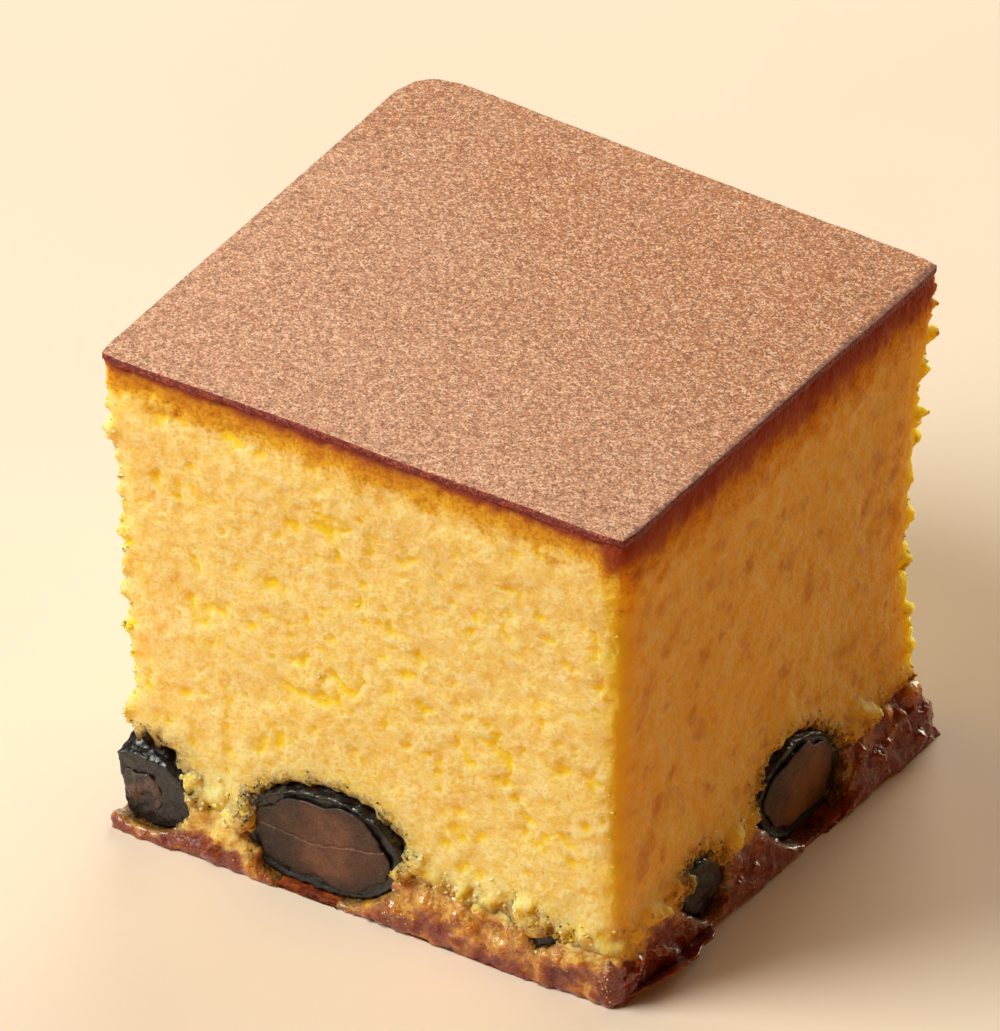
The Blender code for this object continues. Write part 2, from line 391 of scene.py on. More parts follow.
def cakeMaterial(name, look, body):
    # the dry crumb and the soaked layer share one build, so that the border runs on across both pieces
    material, tree, shader, place = startMaterial(
        name, Subsurface_Weight=body["scatter"], Subsurface_Radius=body["tint"],
        Subsurface_Scale=body["reach"], IOR=1.4, Coat_Roughness=0.12)
    fine = mottle(tree, place, look["fine"])
    medium = mottle(tree, place, look["medium"])
    wide = noiseField(tree, place, look["wide"], 2.0, 0.6)
    # the right face, which stands in shade; it carries painted shade and a painted glow into the crumb's
    # colour
    shadedRight = smoothRange(tree, splitAxes(tree, place)[0], 25 * mm, 27 * mm)
    color = dryCrumb(tree, place, look, fine, medium, wide, shadedRight)
    color = bakedCrumb(tree, place, look, color, fine, shadedRight)
    edge = useGroup(tree, "soaked", {"Place": place, "Border": look["border"], "Cap": look["cap"]})
    color = mixTone(tree, times(tree, edge["Damp"], 0.55), color, look["damp"])
    color = mixTone(tree, edge["Soaked"], color, syrupyCrumb(tree, place, look, fine, wide, shadedRight))
    near = addNode(tree, "ShaderNodeAttribute", attribute_name="beanNear").outputs["Fac"]
    blotch = times(tree, near, plus(tree, fine, times(tree, medium, 0.6)))
    color = tint(tree, color, look["stainSoft"], blotch, 0.08, 0.45, 0.0, 0.65)
    color = tint(tree, color, look["stain"], blotch, 0.50, 0.85, 0.0, 0.8)
    feed(tree, shader, Base_Color=color, Roughness=smoothRange(tree, edge["Soaked"], 0.0, 1.0, 0.8, 0.3),
         Coat_Weight=times(tree, edge["Soaked"], body["wet"]))
    addBump(tree, shader, plus(tree, times(tree, fine, 0.5), medium), 0.5, body["bump"])
    return material


crustLook = {
    "brown": tone(203, 136, 92), "sheenPink": tone(212, 149, 112), "orange": tone(198, 122, 64),
    "dark": tone(106, 50, 30), "pale": tone(254, 216, 184),
    "rim": tone(112, 28, 24), "rimLight": tone(178, 84, 62),
    "grain": 0.17 * mm, "coarse": 0.9 * mm, "pitSize": 0.8 * mm, "rimGrain": 0.28 * mm,
    "drift": 50 * mm, "driftSize": 14 * mm, "backReach": 34 * mm,
}


def crustMaterial(look):
    material, tree, shader, place = startMaterial(
        "cake crust", Roughness=0.62, Subsurface_Weight=0.12, Subsurface_Radius=(1.0, 0.4, 0.15),
        Subsurface_Scale=0.6 * mm)
    x, y, z = splitAxes(tree, place)
    # rosier and paler towards the front left: painted sheen where the light glances off the top; more orange
    # towards the back
    towardBack = plus(tree, y, times(tree, x, 0.7))
    drift = swayField(tree, place, look["driftSize"], look["drift"])
    sheenFade = smoothRange(tree, plus(tree, towardBack, drift), -look["backReach"], look["backReach"])
    color = toneRamp(tree, sheenFade, [(0.0, look["sheenPink"]), (0.5, look["brown"]), (1.0, look["orange"])])
    grain = useGroup(tree, "grain", {"Place": place, "Size": look["grain"]})
    coarse = mottle(tree, place, look["coarse"])
    color = tint(tree, color, look["dark"], grain["Speck"], 0.0, 0.45, 0.65, 0.0)
    color = tint(tree, color, look["pale"], grain["Speck"], 0.55, 1.0, 0.0, 0.72)
    color = tint(tree, color, look["dark"], coarse, 0.0, 0.6, 0.3, 0.0)
    pits = smoothRange(tree, noiseField(tree, place, look["pitSize"], 1.0), 0.73, 0.79, 0.0, 0.6)
    color = mixTone(tree, pits, color, look["dark"])
    toEdge = plus(tree, x, times(tree, coarse, 0.6 * mm))  # an uneven dark line along the right edge
    color = tint(tree, color, look["dark"], toEdge, 27.9 * mm, 28.5 * mm, 0.0, 0.85)
    feed(tree, shader, Base_Color=color, Roughness=smoothRange(tree, grain["Speck"], 0.0, 1.0, 0.75, 0.5))
    addBump(tree, shader, plus(tree, times(tree, grain["Soft"], 0.8), coarse), 0.6, 0.12 * mm)
    return material


def crustRimMaterial(look):  # the dark line where the crust was cut through
    material, tree, shader, place = startMaterial(
        "crust rim", Roughness=0.6, Subsurface_Weight=0.3, Subsurface_Radius=(1.0, 0.35, 0.1),
        Subsurface_Scale=0.8 * mm)
    grain = useGroup(tree, "grain", {"Place": place, "Size": look["rimGrain"]})
    speckle = smoothRange(tree, grain["Speck"], 0.4, 1.0, 0.0, 0.8)
    feed(tree, shader, Base_Color=mixTone(tree, speckle, look["rim"], look["rimLight"]))
    addBump(tree, shader, grain["Soft"], 0.7, 0.15 * mm)
    return material


underLook = {"red": tone(122, 44, 20), "amber": tone(186, 104, 40), "dark": tone(84, 30, 16),
             "fine": 0.5 * mm, "patches": 4 * mm}


def undersideMaterial(look):
    material, tree, shader, place = startMaterial(
        "cake underside", Roughness=0.34, Subsurface_Weight=0.4, Subsurface_Radius=(1.0, 0.35, 0.1),
        Subsurface_Scale=1.2 * mm, Coat_Weight=0.3, Coat_Roughness=0.25)
    fine = mottle(tree, place, look["fine"])
    patches = noiseField(tree, place, look["patches"], 3.0)
    color = toneRamp(tree, patches, [(0.3, look["dark"]), (0.5, look["red"]), (0.72, look["amber"])])
    color = tint(tree, color, look["amber"], fine, 0.6, 1.0, 0.0, 0.5)
    feed(tree, shader, Base_Color=color)
    addBump(tree, shader, fine, 0.5, 0.15 * mm)
    return material


fleshLook = {"mid": tone(86, 54, 36), "light": tone(114, 76, 54), "dark": tone(38, 26, 20),
             "line": tone(150, 118, 94), "crackle": 0.30, "bump": 0.28 * mm, "wet": 0.15}
# a copy of the flesh tones for the bean that stands in shade on the right: painted shade
shadeFleshLook = {"mid": tone(116, 80, 44), "light": tone(130, 92, 52), "dark": tone(42, 32, 20),
                  "line": tone(150, 112, 82), "crackle": 0.1, "bump": 0.15 * mm, "wet": 0.1}
wetFleshLook = {"mid": tone(70, 46, 38), "light": tone(104, 74, 64), "dark": tone(20, 15, 13),
                "line": tone(120, 90, 72), "crackle": 0.95, "bump": 0.45 * mm, "wet": 0.8}


def fleshMaterial(name, look):
    material, tree, shader, place = startMaterial(
        name, Roughness=0.52, Subsurface_Weight=0.15, Subsurface_Radius=(1.0, 0.5, 0.3),
        Subsurface_Scale=0.8 * mm, Specular_IOR_Level=0.4, Coat_Weight=look["wet"], Coat_Roughness=0.2)
    spot = addNode(tree, "ShaderNodeAttribute", attribute_name="beanPlace")
    along, splitHere, across = splitAxes(tree, spot.outputs["Vector"])  # only some beans show the split
    grain = mottle(tree, place, 0.3 * mm)
    clouds = noiseField(tree, place, 3.2 * mm, 3.0, 0.6)
    color = toneRamp(tree, clouds, [(0.15, look["dark"]), (0.45, look["mid"]), (0.70, look["light"])])
    # darker round the rim, at one end and in the cracks
    radial = calc(tree, "SQRT", plus(tree, times(tree, along, along), times(tree, across, across)))
    color = tint(tree, color, look["dark"], radial, 0.62, 0.98, 0.0, 0.8)
    farEnd = smoothRange(tree, plus(tree, along, times(tree, clouds, 1.2)), -0.1, 0.7, 0.85, 0.0)
    color = mixTone(tree, farEnd, color, look["dark"])
    crackle = noiseField(tree, place, 1.3 * mm, 3.0, 0.65, 0.8)
    color = tint(tree, color, look["dark"], crackle, 0.50, 0.60, 0.0, look["crackle"])
    color = tint(tree, color, look["light"], grain, 0.5, 1.0, 0.0, 0.18)
    # the bowed line between the bean's two halves, pale and broken, in a shallow groove
    bow = times(tree, along, along, 0.16)
    wiggle = swayField(tree, place, 2.6 * mm, 0.4, 3.0)
    offLine = calc(tree, "ABSOLUTE", plus(tree, minus(tree, across, bow), wiggle))
    line = times(tree, smoothRange(tree, offLine, 0.010, 0.045, 1.0, 0.0), splitHere)
    broken = smoothRange(tree, noiseField(tree, place, 1.1 * mm, 2.0), 0.35, 0.6, 0.1, 0.6)
    color = mixTone(tree, times(tree, line, broken), color, look["line"])
    feed(tree, shader, Base_Color=color, Roughness=smoothRange(tree, grain, 0.0, 1.0, 0.6, 0.44))
    groove = times(tree, smoothRange(tree, offLine, 0.0, 0.06, -0.8, 0.0), splitHere)
    height = plus(tree, times(tree, grain, 0.2), plus(tree, groove, clouds),
                  times(tree, crackle, 0.5 + 1.5 * look["crackle"]))
    addBump(tree, shader, height, 0.6, look["bump"])
    return material


skinLook = {"black": tone(14, 12, 11), "blue": tone(28, 31, 33), "brown": tone(34, 20, 13),
            "wrinkle": 0.55 * mm, "patches": 2.0 * mm}


def beanSkinMaterial(look):
    material, tree, shader, place = startMaterial("bean skin", Roughness=0.3, Coat_Weight=0.3,
                                                  Coat_Roughness=0.15)
    wrinkle = noiseField(tree, place, look["wrinkle"], 3.0, 0.55, 0.6)
    patches = noiseField(tree, place, look["patches"], 2.0)
    color = toneRamp(tree, patches, [(0.35, look["black"]), (0.55, look["blue"]), (0.7, look["brown"])])
    color = tint(tree, color, look["black"], wrinkle, 0.4, 0.6, 0.7, 0.0)
    feed(tree, shader, Base_Color=color, Roughness=smoothRange(tree, wrinkle, 0.3, 0.7, 0.24, 0.5))
    addBump(tree, shader, wrinkle, 0.8, 0.2 * mm)
    return material


def driftingMaterial(name, size, low, high, **values):  # two tones that drift into each other
    material, tree, shader, place = startMaterial(name, **values)
    feed(tree, shader, Base_Color=toneRamp(tree, noiseField(tree, place, size), [low, high]))
    return material


finish = {
    "crumb": cakeMaterial("cake crumb", crumbLook, dryBody),
    "looseCrumb": cakeMaterial("loose crumb", paleLitLook, looseBody),
    "soaked": cakeMaterial("soaked crumb", crumbLook, soakedBody),
    "crust": crustMaterial(crustLook),
    "crustRim": crustRimMaterial(crustLook),
    "under": undersideMaterial(underLook),
    "flesh": fleshMaterial("bean flesh", fleshLook),
    "shadeFlesh": fleshMaterial("olive bean flesh", shadeFleshLook),
    "wetFlesh": fleshMaterial("wet bean flesh", wetFleshLook),
    "beanSkin": beanSkinMaterial(skinLook),
    "syrup": driftingMaterial("syrup", 3 * mm, (0.35, tone(224, 150, 70)), (0.7, tone(250, 222, 168)),
                              Roughness=0.08, Transmission_Weight=0.35, IOR=1.4, Coat_Weight=0.6,
                              Coat_Roughness=0.04),
    "flecks": driftingMaterial("bean flecks", 0.5 * mm, (0.4, tone(40, 32, 22)), (0.65, tone(98, 74, 40)),
                               Roughness=0.4),
}
print("finishes made:", len(finish))


# geometry node groups for relief and for scattered crumbs

def awayFromFront(tree, place):  # the edge between the front and the right side was cut cleanly
    x, y, z = splitAxes(tree, place)
    return smoothRange(tree, minus(tree, x, y), 46 * mm, 52 * mm, 1.0, 0.2)


def cutEdges(tree, place, normal, low, high):  # 1 along the other upright edges, where the crumb tears
    x, y, z = splitAxes(tree, normal)
    edge = calc(tree, "ABSOLUTE", times(tree, x, y))
    return times(tree, smoothRange(tree, edge, low, high), awayFromFront(tree, place))


def upright(tree, normal, low, high):  # 1 on upright faces, 0 on level ones
    return smoothRange(tree, calc(tree, "ABSOLUTE", splitAxes(tree, normal)[2]), low, high, 1.0, 0.0)


def poreField(tree, place, spacing):  # ragged holes in loose clusters
    ragged = noiseField(tree, place, spacing, 3.0, 0.62)
    return smoothRange(tree, plus(tree, ragged, swayField(tree, place, 3.6 * spacing, 0.35, 1.0)), 0.57, 0.65)


def reliefGroup(name, shape):
    # layers: kind, size, height; pores: spacing and depth; edge: the torn edges' size and height
    tree, start, end, place, normal = surfaceGroup(name)
    geometry = start.outputs[0]
    fields = []
    for kind, size, height in shape["layers"]:
        if kind == "noise":
            fields.append(swayField(tree, place, size, 2 * height))
        else:
            cells = addNode(tree, "ShaderNodeTexVoronoi", {"Vector": place, "Scale": 1 / size},
                            feature="SMOOTH_F1")
            fields.append(times(tree, minus(tree, 0.45, cells.outputs["Distance"]), 2 * height))
    total = plus(tree, *fields)
    if "pores" in shape:
        spacing, depth = shape["pores"]
        pit = poreField(tree, place, spacing)
        shallow = smoothRange(tree, splitAxes(tree, normal)[0], 0.4, 0.9, depth, 0.3 * depth)  # on the right
        total = minus(tree, total, times(tree, pit, shallow))
        geometry = addNode(tree, "GeometryNodeStoreNamedAttribute",
                           {"Geometry": geometry, "Name": "pore", "Value": pit},
                           data_type="FLOAT", domain="POINT").outputs[0]
    size, height = shape["edge"]
    lumps = minus(tree, noiseField(tree, place, size, 3.0, 0.62), 0.5)
    total = plus(tree, total, times(tree, lumps, cutEdges(tree, place, normal, 0.08, 0.4), 2 * height))
    push = times(tree, total, upright(tree, normal, 0.45, 0.85))
    offset = addNode(tree, "ShaderNodeVectorMath", {0: normal, "Scale": push}, operation="SCALE").outputs[0]
    moved = addNode(tree, "GeometryNodeSetPosition", {"Geometry": geometry, "Offset": offset})
    tree.links.new(moved.outputs[0], end.inputs[0])
    return tree


def surfaceGroup(name):  # a geometry node group, with each point's place and normal
    tree, start, end = newGroup(name, "GeometryNodeTree", {"Geometry": "Geometry"}, {"Geometry": "Geometry"})
    place = addNode(tree, "GeometryNodeInputPosition").outputs[0]
    return tree, start, end, place, addNode(tree, "GeometryNodeInputNormal").outputs[0]


def applyNodes(piece, tree):
    pickOnly(piece)
    modifier = piece.modifiers.new(tree.name, "NODES")
    modifier.node_group = tree
    bpy.ops.object.modifier_apply(modifier=modifier.name)


def makeGrain(name, lumps, rounds=1):  # one small lumpy crumb, copied by the scatter and then deleted
    bpy.ops.object.select_all(action="DESELECT")
    bpy.ops.mesh.primitive_ico_sphere_add(subdivisions=rounds, radius=0.5)
    grain = bpy.context.active_object
    grain.name = name
    for vert in grain.data.vertices:
        vert.co *= 1 + lumps * noise.noise(vert.co * 3.7 + Vector((0.3, 0.1, 0.7)))
    return grain


def scatterPiece(name, base, grain, densityRule, spec):
    # many small copies of one grain over a piece's surface, made real as one mesh
    tree, start, end, place, normal = surfaceGroup(name)
    surface = addNode(tree, "GeometryNodeObjectInfo", {"Object": base}).outputs["Geometry"]
    density, sizeFactor = densityRule(tree, place, normal, spec)
    points = addNode(tree, "GeometryNodeDistributePointsOnFaces",
                     {"Mesh": surface, "Density": density, "Seed": spec["seed"]}, distribute_method="RANDOM")
    grainShape = addNode(tree, "GeometryNodeObjectInfo", {"Object": grain}).outputs["Geometry"]
    least, most = spec["sizes"]
    size = addNode(tree, "FunctionNodeRandomValue", {"Min": least, "Max": most, "Seed": spec["seed"] + 1},
                   data_type="FLOAT").outputs["Value"]
    turn = addNode(tree, "FunctionNodeRandomValue", {"Min": (0, 0, 0), "Max": (6.28, 6.28, 6.28)},
                   data_type="FLOAT_VECTOR").outputs["Value"]
    placed = addNode(tree, "GeometryNodeInstanceOnPoints",
                     {"Points": points.outputs["Points"], "Instance": grainShape, "Rotation": turn,
                      "Scale": times(tree, size, sizeFactor)})
    real = addNode(tree, "GeometryNodeRealizeInstances", {"Geometry": placed.outputs[0]})
    smooth = addNode(tree, "GeometryNodeSetShadeSmooth", {"Geometry": real.outputs[0]})
    tree.links.new(smooth.outputs[0], end.inputs[0])
    piece = bpy.data.objects.new(name, bpy.data.meshes.new(name))
    bpy.context.scene.collection.objects.link(piece)
    applyNodes(piece, tree)
    print("scattered", name, triangles(piece), "triangles")
    return piece


def joinLumps(piece, shape, densityRule):  # lumps scattered over the surface are melted into it by the remesh
    applyModifier(piece, "REMESH", mode="VOXEL", voxel_size=shape["firstVoxel"])
    grain = makeGrain("lumpGrain", 0.5, 3)
    lumps = scatterPiece(piece.name + "Lumps", piece, grain, densityRule, shape["lumps"])
    bpy.data.objects.remove(grain)
    pickOnly(piece)
    lumps.select_set(True)
    bpy.ops.object.join()
    applyModifier(piece, "REMESH", mode="VOXEL", voxel_size=shape["voxel"], use_smooth_shade=True)
    applyModifier(piece, "SMOOTH", factor=0.5, iterations=shape["smooth"])


def thinHidden(piece, shape):  # fewer faces where nothing shows: well inside all four sides
    low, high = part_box("soaked_base")
    depth = shape["hiddenDepth"]
    group = piece.vertex_groups.new(name="hidden")
    inner = [vert.index for vert in piece.data.vertices
             if low.x + depth < vert.co.x < high.x - depth and low.y + depth < vert.co.y < high.y - depth]
    group.add(inner, 1.0, "REPLACE")
    applyModifier(piece, "DECIMATE", ratio=shape["keep"], vertex_group="hidden")
    piece.vertex_groups.clear()


def markNearBeans(piece, reach):  # how close each point is to a bean, 1 touching and 0 well away
    spots = [vert.co for name in beanSides for vert in nodes[name].data.vertices]
    tree = kdtree.KDTree(len(spots))
    for index, spot in enumerate(spots):
        tree.insert(spot, index)
    tree.balance()
    highest = max(spot.z for spot in spots) + 3 * reach
    values = [0.0] * len(piece.data.vertices)
    for index, vert in enumerate(piece.data.vertices):
        if vert.co.z < highest:
            values[index] = math.exp(-max(tree.find(vert.co)[2] - 0.4 * mm, 0.0) / reach)
    markPoints(piece, "beanNear", "FLOAT", "value", values)


def creepOverBeans(piece, amount):  # the crumb clings to the beans in a ragged edge
    near = piece.data.attributes["beanNear"].data
    for (vert, normal), closeness in zip(pointsAndNormals(piece), near):
        if closeness.value > 0.2 and abs(normal.z) < 0.8:
            atCorner = vert.co.x < -17 * mm and vert.co.y < -17 * mm and vert.co.z > 7 * mm
            reach = amount * closeness.value * (0.6 + noise.noise(vert.co / (0.9 * mm)))
            vert.co += normal * reach
            if atCorner:  # the bean at the corner sits lower, with the crumb drawn down over it
                vert.co.z -= 2.4 * reach


def roughenSkin(piece, shape, name):  # relief, smooth shading and the marks beside the beans
    applyNodes(piece, reliefGroup(name, shape))
    shadeSmooth(piece)
    markNearBeans(piece, shape["beanReach"])
    creepOverBeans(piece, shape["overBeans"])
    print(piece.name, triangles(piece), "triangles")


crumbShape = {
    "firstVoxel": 0.6 * mm, "voxel": 0.35 * mm, "smooth": 3, "hiddenDepth": 4.5 * mm, "keep": 0.40,
    "crustRoom": 0.75 * mm,
    "layers": [("noise", 6.0 * mm, 0.28 * mm), ("cells", 1.4 * mm, 0.13 * mm),
               ("noise", 0.75 * mm, 0.16 * mm)],
    "pores": (1.8 * mm, 0.30 * mm), "edge": (2.0 * mm, 1.8 * mm),
    "lumps": {"sizes": (0.7 * mm, 2.0 * mm), "seed": 5, "foot": 5.5e5, "edges": 2.6e5},
    "reachDown": 0.95 * mm, "fringe": 1.1 * mm, "fringeHeight": 3.5 * mm, "fringeSize": 1.7 * mm,
    "beanReach": 1.1 * mm, "overBeans": 0.55 * mm,
}


def lumpDensity(tree, place, normal, spec):  # crumb clumps along the lower rim, and tufts up the cut edges
    height = splitAxes(tree, place)[2]
    foot = smoothRange(tree, height, 6.3 * mm, 8.8 * mm, 1.0, 0.0)
    belowTop = smoothRange(tree, height, cakeTop - 3 * mm, cakeTop - 5 * mm)
    edges = times(tree, cutEdges(tree, place, normal, 0.15, 0.4), belowTop)
    amount = plus(tree, times(tree, foot, spec["foot"]), times(tree, edges, spec["edges"]))
    amount = times(tree, amount, upright(tree, normal, 0.5, 0.7))
    return amount, minus(tree, 1.0, times(tree, edges, 0.3))


def makeCrumb(shape):
    crumb = copyOfNode("sponge", "crumb")
    joinLumps(crumb, shape, lumpDensity)
    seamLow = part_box("sponge")[0].z
    for vert, normal in pointsAndNormals(crumb):  # the underside rests in the soaked layer
        upSide = (vert.co.z - seamLow) / shape["fringeHeight"]
        if upSide < 1:  # and a ragged fringe hangs over its edge
            tuft = 0.4 + 1.4 * noise.noise(vert.co / shape["fringeSize"])
            sideways = Vector((normal.x, normal.y, 0))
            vert.co += sideways * shape["fringe"] * max(tuft, 0.0) * (1 - max(upSide, 0.0))
            vert.co.z -= shape["reachDown"] * max(-normal.z, 0.0)
    cutLevel(crumb, cakeTop - shape["crustRoom"], 1)
    thinHidden(crumb, shape)
    roughenSkin(crumb, shape, "crumb relief")
    finishPiece(crumb, finish["crumb"], "sponge", "sponge")
    return crumb


baseShape = {
    "firstVoxel": 0.6 * mm, "voxel": 0.34 * mm, "smooth": 4, "hiddenDepth": 4.0 * mm, "keep": 0.6,
    "foot": 0.1 * mm,
    "layers": [("noise", 3.5 * mm, 0.30 * mm), ("cells", 1.0 * mm, 0.30 * mm),
               ("noise", 0.6 * mm, 0.14 * mm)],
    "edge": (2.5 * mm, 0.5 * mm),
    "lumps": {"sizes": (0.6 * mm, 1.8 * mm), "seed": 23, "amount": 4.5e5},
    "beanReach": 0.6 * mm, "overBeans": 0.35 * mm,
}


def gelDensity(tree, place, normal, spec):  # rounded gel lumps, thickest at the back right corner
    x, y, z = splitAxes(tree, place)
    sides = upright(tree, normal, 0.4, 0.7)
    clumpy = smoothRange(tree, noiseField(tree, place, 5 * mm), 0.40, 0.60, 0.15, 1.0)
    high = smoothRange(tree, z, 1.2 * mm, 2.4 * mm)
    corner = smoothRange(tree, plus(tree, x, y), 46 * mm, 54 * mm)
    peek = sum(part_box("bean_peek"), Vector()) / 2  # this bean only just shows
    toPeek = distanceTo(tree, place, (peek.x, peek.y - 3 * mm, peek.z))
    amount = plus(tree, times(tree, clumpy, sides, high), times(tree, corner, sides, high),
                  smoothRange(tree, toPeek, 2.0 * mm, 6.0 * mm, 1.6, 0.0))
    return times(tree, amount, spec["amount"]), plus(tree, 1.0, times(tree, corner, 0.4))


def makeBase(shape):
    base = copyOfNode("soaked_base", "soakedBase")
    joinLumps(base, shape, gelDensity)
    cutLevel(base, shape["foot"], -1)
    thinHidden(base, shape)
    roughenSkin(base, shape, "soaked relief")
    finishPiece(base, finish["soaked"], "soaked_base", "soaked_base")
    return base


crustShape = {"cuts": 10, "thick": 0.95 * mm, "raise": 0.12 * mm, "grain": 0.9 * mm, "grainHeight": 0.05 * mm,
              "overhang": 0.22 * mm, "halfWidth": 28 * mm, "ragged": 0.5 * mm, "raggedSize": 1.1 * mm}


def makeCrust(shape):
    skin = copyOfNode("sponge", "crust")
    editFaces(skin, lambda face: not (face.normal.z > 0.7 and face.center.z > cakeTop - 1.5 * mm))
    bpy.ops.mesh.delete(type="FACE")
    selectAll()
    bpy.ops.mesh.subdivide(number_cuts=shape["cuts"], smoothness=0.0)
    leaveEdit()
    applyModifier(skin, "SMOOTH", factor=0.5, iterations=6, use_z=False)
    center = sum((vert.co for vert in skin.data.vertices), Vector()) / len(skin.data.vertices)
    for vert in skin.data.vertices:
        outward = Vector((vert.co.x - center.x, vert.co.y - center.y, 0))
        vert.co += outward.normalized() * shape["overhang"] * (outward.length / shape["halfWidth"]) ** 2
        vert.co.z += shape["grainHeight"] * noise.noise(vert.co / shape["grain"]) + shape["raise"]
    pickOnly(skin)
    bpy.ops.object.mode_set(mode="EDIT")
    bpy.ops.mesh.select_mode(type="EDGE")
    bpy.ops.mesh.select_all(action="DESELECT")
    bpy.ops.mesh.select_non_manifold(extend=False)
    for step in range(3):
        bpy.ops.mesh.extrude_edges_move(TRANSFORM_OT_translate={"value": (0, 0, -shape["thick"] / 3)})
    leaveEdit()
    for vert in skin.data.vertices:  # the lower edge of the rim is ragged
        if vert.select:
            spot = Vector((vert.co.x, vert.co.y, 0)) / shape["raggedSize"]
            vert.co.z += shape["ragged"] * noise.noise(spot)
    bpy.ops.object.mode_set(mode="EDIT")
    bpy.ops.transform.resize(value=(0.994, 0.994, 1.0))
    bpy.ops.mesh.extrude_edges_move()
    bpy.ops.transform.resize(value=(0.97, 0.97, 1.0))
    bpy.ops.mesh.edge_face_add()
    leaveEdit()
    bpy.ops.object.shade_smooth()
    finishPiece(skin, finish["crust"], "crust")
    skin.data.materials.append(finish["crustRim"])
    for face in skin.data.polygons:
        if face.normal.z < 0.5:
            face.material_index = 1
    print("crust", triangles(skin), "triangles")


underShape = {"cuts": 10, "thick": 0.5 * mm, "reach": -0.7 * mm, "ripple": 2.6 * mm, "rippleOut": 0.4 * mm,
              "bumps": 1.3 * mm, "bumpHeight": 0.25 * mm}


def makeUnderside(shape):
    plate = copyOfNode("soaked_base", "undersideSkin")
    editFaces(plate, lambda face: not (face.normal.z < -0.9 and face.center.z < 0.05 * mm))
    bpy.ops.mesh.delete(type="FACE")
    selectAll()
    bpy.ops.mesh.dissolve_limited(angle_limit=math.radians(2))
    selectAll()
    bpy.ops.mesh.subdivide(number_cuts=shape["cuts"])
    selectAll()
    bpy.ops.mesh.normals_make_consistent(inside=False)
    bpy.ops.mesh.extrude_region_move(TRANSFORM_OT_translate={"value": (0, 0, shape["thick"])})
    selectAll()
    bpy.ops.mesh.normals_make_consistent(inside=False)
    leaveEdit()
    for vert in plate.data.vertices:
        flat = Vector((vert.co.x, vert.co.y, 0))
        ripple = noise.noise(flat / shape["ripple"])
        vert.co += flat.normalized() * (shape["reach"] + shape["rippleOut"] * ripple)
        if vert.co.z > 0.1 * mm:
            vert.co.z += shape["bumpHeight"] * noise.noise(Vector((vert.co.x, vert.co.y, 3)) / shape["bumps"])
    finishPiece(plate, finish["under"], "soaked_base")
    print("underside", triangles(plate), "triangles")


flapShape = {"start": -26.0 * mm, "length": 15.0 * mm, "root": 3.5 * mm, "tuck": 1.2 * mm,
             "reach": 2.5 * mm, "foot": 0.30 * mm, "lift": 1.1 * mm, "thick": 0.35 * mm,
             "wave": 3.0 * mm, "waveHeight": 0.35 * mm}


def makeFlap(shape):  # a bit of the underside that has come loose on the right
    bpy.ops.object.select_all(action="DESELECT")
    bpy.ops.mesh.primitive_grid_add(x_subdivisions=10, y_subdivisions=48, size=1)
    piece = bpy.context.active_object
    piece.name = "undersideFlap"
    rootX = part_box("soaked_base")[1].x - shape["root"]
    for vert in piece.data.vertices:
        out, along = vert.co.x + 0.5, vert.co.y + 0.5
        swell = math.sin(math.pi * along) ** 0.6
        y = shape["start"] + shape["length"] * along
        wave = noise.noise(Vector((out * 0.8, y / shape["wave"], 0)))
        width = shape["tuck"] + shape["reach"] * (0.8 + 0.5 * wave)
        x = rootX + 0.05 * (y + 20 * mm) + width * out * swell
        z = shape["foot"] + shape["lift"] * out ** 2 * swell + shape["waveHeight"] * (0.6 + wave) * out
        vert.co = Vector((x, y, z))
    applyModifier(piece, "SOLIDIFY", thickness=shape["thick"], offset=0.0)
    applyModifier(piece, "SUBSURF", levels=1, render_levels=1)
    shadeSmooth(piece)
    finishPiece(piece, finish["under"], "soaked_base")
    print("flap", triangles(piece), "triangles")


beanShape = {
    "voxel": 0.22 * mm, "wrinkle": 0.9 * mm, "wrinkleHeight": 0.24 * mm, "skinBack": 0.45 * mm,
    "inset": 0.75 * mm, "insetVaries": 0.80 * mm, "leastInset": 0.3 * mm, "flushOut": -0.10 * mm,
    "fleshRelief": 0.14 * mm, "rim": 0.8 * mm, "rimSize": 2.6 * mm,
    "cornerSqueeze": (0.66, 1.0, 0.78), "cornerRough": 2.5, "cornerHeight": 0.86,
}
splitBeans = ("bean_front", "bean_back_right", "bean_left")
# the bean on the right takes the flesh copy with painted shade
beanFlesh = {"bean_corner": "wetFlesh", "bean_right": "shadeFlesh"}


def middleAndHalf(piece):  # the middle of its box and half its size
    low = Vector(min(vert.co[axis] for vert in piece.data.vertices) for axis in range(3))
    high = Vector(max(vert.co[axis] for vert in piece.data.vertices) for axis in range(3))
    return (low + high) / 2, (high - low) / 2


def markBeanPlace(piece, sideways, split):
    # x runs along the bean's length in its cut face and z across it, about -1 to 1; y is the split's strength
    middle, half = middleAndHalf(piece)
    flat = [((vert.co - middle).y if sideways else (vert.co - middle).x, (vert.co - middle).z)
            for vert in piece.data.vertices]
    spreadU = sum(u * u for u, w in flat)
    spreadW = sum(w * w for u, w in flat)
    slant = sum(u * w for u, w in flat)
    angle = 0.5 * math.atan2(2 * slant, spreadU - spreadW)
    length = 1.05 * math.hypot(half.y if sideways else half.x, half.z * 0.2)
    places = []
    for u, w in flat:
        along = (u * math.cos(angle) + w * math.sin(angle)) / length
        across = (w * math.cos(angle) - u * math.sin(angle)) / half.z
        places += [along, split, across]
    markPoints(piece, "beanPlace", "FLOAT_VECTOR", "vector", places)


